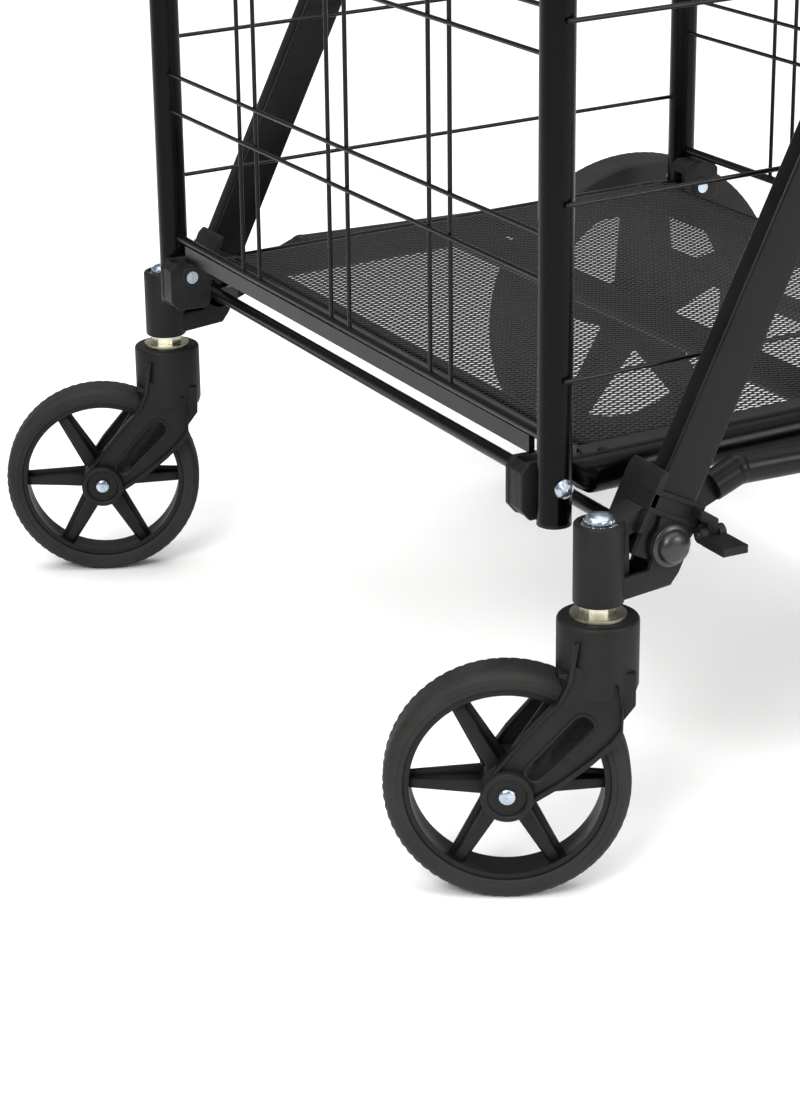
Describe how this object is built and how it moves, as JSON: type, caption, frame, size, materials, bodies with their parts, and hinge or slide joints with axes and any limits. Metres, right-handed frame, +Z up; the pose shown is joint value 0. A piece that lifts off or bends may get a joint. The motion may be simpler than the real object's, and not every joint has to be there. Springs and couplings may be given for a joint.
{
  "type": "folding wire shelf cart",
  "caption": "Wheeled wire basket cart with a mesh deck, push handle, swivelling front casters and large rear wheels; the basket folds flat.",
  "frame": {"origin": "on the floor below the middle of the cart's length and width", "axes": "+X across the cart to its right-hand side, -Y towards the front casters, +Y towards the handle and rear wheels, +Z up"},
  "size_m": [0.7638, 0.7014, 1.0366],
  "materials": {
    "black_paint_leg": "satin black paint",
    "black_gloss_tube": "gloss black paint",
    "black_stay_tube": "satin black paint",
    "black_wire": "gloss black coating",
    "black_mesh": "satin black coating",
    "black_moulding": "matt black plastic",
    "grip_foam": "matt black foam",
    "dome_black": "semi-gloss black",
    "bright_zinc": "bright zinc",
    "yellow_zinc": "yellow zinc",
    "wheel_rim": "matt black plastic",
    "tyre_rubber": "black rubber"
  },
  "bodies": {
    "frame": {"left_leg": "black_paint_leg", "right_leg": "black_paint_leg", "handle_tube": "black_paint_leg", "handle_grip": "grip_foam", "left_bracket": "black_moulding", "right_bracket": "black_moulding", "lower_cross_rod": "black_wire", "dome_bolts": "dome_black", "stem_bolts": "bright_zinc", "stem_nuts": "yellow_zinc", "left_front_post": "black_gloss_tube", "right_front_post": "black_gloss_tube", "front_post_plugs": "black_moulding", "front_bottom_rod": "black_wire", "front_flat_bar": "black_wire", "front_wires": "black_wire", "front_top_rail": "black_wire", "front_connectors": "black_moulding", "deck_bolts": "bright_zinc", "upper_arms": "black_paint_leg", "arm_bolts": "bright_zinc", "pedal_pins": "bright_zinc"},
    "deck": {"left_deck_rail": "black_gloss_tube", "right_deck_rail": "black_gloss_tube", "deck_cross_tubes": "black_gloss_tube", "deck_mesh": "black_mesh"},
    "back_panel": {"left_back_post": "black_gloss_tube", "right_back_post": "black_gloss_tube", "back_post_plugs": "black_moulding", "back_bottom_rod": "black_wire", "back_wires": "black_wire", "back_top_rail": "black_wire", "back_connectors": "black_moulding", "back_bolts": "bright_zinc"},
    "side_level_1": {"side_wires_1": "black_wire"},
    "side_level_2": {"side_wires_2": "black_wire"},
    "side_level_3": {"side_wires_3": "black_wire"},
    "side_level_4": {"side_wires_4": "black_wire"},
    "side_rails": {"side_top_rails": "black_wire"},
    "rear_frame": {"left_rear_stay": "black_stay_tube", "right_rear_stay": "black_stay_tube", "rear_cross_tube": "black_stay_tube", "rear_axle": "bright_zinc", "axle_spacers": "black_moulding", "axle_caps": "black_moulding"},
    "left_rear_wheel": {"left_rear_rim": "wheel_rim", "left_rear_tyre": "tyre_rubber"},
    "right_rear_wheel": {"right_rear_rim": "wheel_rim", "right_rear_tyre": "tyre_rubber"},
    "left_caster": {"left_fork": "black_moulding", "left_caster_axle": "bright_zinc"},
    "right_caster": {"right_fork": "black_moulding", "right_caster_axle": "bright_zinc"},
    "left_caster_wheel": {"left_caster_rim": "wheel_rim", "left_caster_tyre": "tyre_rubber"},
    "right_caster_wheel": {"right_caster_rim": "wheel_rim", "right_caster_tyre": "tyre_rubber"},
    "left_foot_pedal": {"left_pedal": "black_moulding"},
    "right_foot_pedal": {"right_pedal": "black_moulding"}
  },
  "joints": [
    {"name": "deck_fold", "type": "hinge", "parent": "frame", "child": "deck", "pos_m": [0, -0.23675, 0.2513], "axis": [1, 0, 0], "range_deg": [0, 60]},
    {"name": "back_panel_fold", "type": "hinge", "parent": "deck", "child": "back_panel", "pos_m": [0, 0.21305, 0.26465], "axis": [1, 0, 0], "range_deg": [-60, 0]},
    {"name": "side_level_1_fold", "type": "hinge", "parent": "frame", "child": "side_level_1", "pos_m": [0, -0.23675, 0.3173], "axis": [1, 0, 0], "range_deg": [0, 60]},
    {"name": "side_level_2_fold", "type": "hinge", "parent": "frame", "child": "side_level_2", "pos_m": [0, -0.23675, 0.4213], "axis": [1, 0, 0], "range_deg": [0, 60]},
    {"name": "side_level_3_fold", "type": "hinge", "parent": "frame", "child": "side_level_3", "pos_m": [0, -0.23675, 0.5253], "axis": [1, 0, 0], "range_deg": [0, 60]},
    {"name": "side_level_4_fold", "type": "hinge", "parent": "frame", "child": "side_level_4", "pos_m": [0, -0.23675, 0.6293], "axis": [1, 0, 0], "range_deg": [0, 60]},
    {"name": "side_rails_fold", "type": "hinge", "parent": "frame", "child": "side_rails", "pos_m": [0, -0.23675, 0.7463], "axis": [1, 0, 0], "range_deg": [0, 60]},
    {"name": "rear_frame_fold", "type": "hinge", "parent": "frame", "child": "rear_frame", "pos_m": [0, -0.18735, 0.22], "axis": [1, 0, 0], "range_deg": [0, 48]},
    {"name": "left_rear_wheel_spin", "type": "hinge", "parent": "rear_frame", "child": "left_rear_wheel", "pos_m": [-0.3515, 0.21565, 0.135], "axis": [1, 0, 0], "continuous": true},
    {"name": "right_rear_wheel_spin", "type": "hinge", "parent": "rear_frame", "child": "right_rear_wheel", "pos_m": [0.3515, 0.21565, 0.135], "axis": [1, 0, 0], "continuous": true},
    {"name": "left_caster_swivel", "type": "hinge", "parent": "frame", "child": "left_caster", "pos_m": [-0.319, -0.22935, 0.1804], "axis": [0, 0, 1], "continuous": true},
    {"name": "left_caster_spin", "type": "hinge", "parent": "left_caster", "child": "left_caster_wheel", "pos_m": [-0.34076, -0.27822, 0.075], "axis": [0.9135, -0.4067, 0], "continuous": true},
    {"name": "right_caster_swivel", "type": "hinge", "parent": "frame", "child": "right_caster", "pos_m": [0.319, -0.22935, 0.1804], "axis": [0, 0, 1], "continuous": true},
    {"name": "right_caster_spin", "type": "hinge", "parent": "right_caster", "child": "right_caster_wheel", "pos_m": [0.29306, -0.27614, 0.075], "axis": [0.8746, -0.4848, 0], "continuous": true},
    {"name": "left_pedal_press", "type": "hinge", "parent": "frame", "child": "left_foot_pedal", "pos_m": [-0.3356, -0.16335, 0.225], "axis": [0, -1, 0], "range_deg": [0, 15], "stiffness_Nm_per_rad": 1},
    {"name": "right_pedal_press", "type": "hinge", "parent": "frame", "child": "right_foot_pedal", "pos_m": [0.3356, -0.16335, 0.225], "axis": [0, 1, 0], "range_deg": [0, 15], "stiffness_Nm_per_rad": 1}
  ],
  "couplings": [
    {"joint": "back_panel_fold", "follows": "deck_fold", "ratio": -1},
    {"joint": "side_level_1_fold", "follows": "deck_fold", "ratio": 1},
    {"joint": "side_level_2_fold", "follows": "deck_fold", "ratio": 1},
    {"joint": "side_level_3_fold", "follows": "deck_fold", "ratio": 1},
    {"joint": "side_level_4_fold", "follows": "deck_fold", "ratio": 1},
    {"joint": "side_rails_fold", "follows": "deck_fold", "ratio": 1},
    {"joint": "rear_frame_fold", "follows": "deck_fold", "ratio": 0.8}
  ]
}
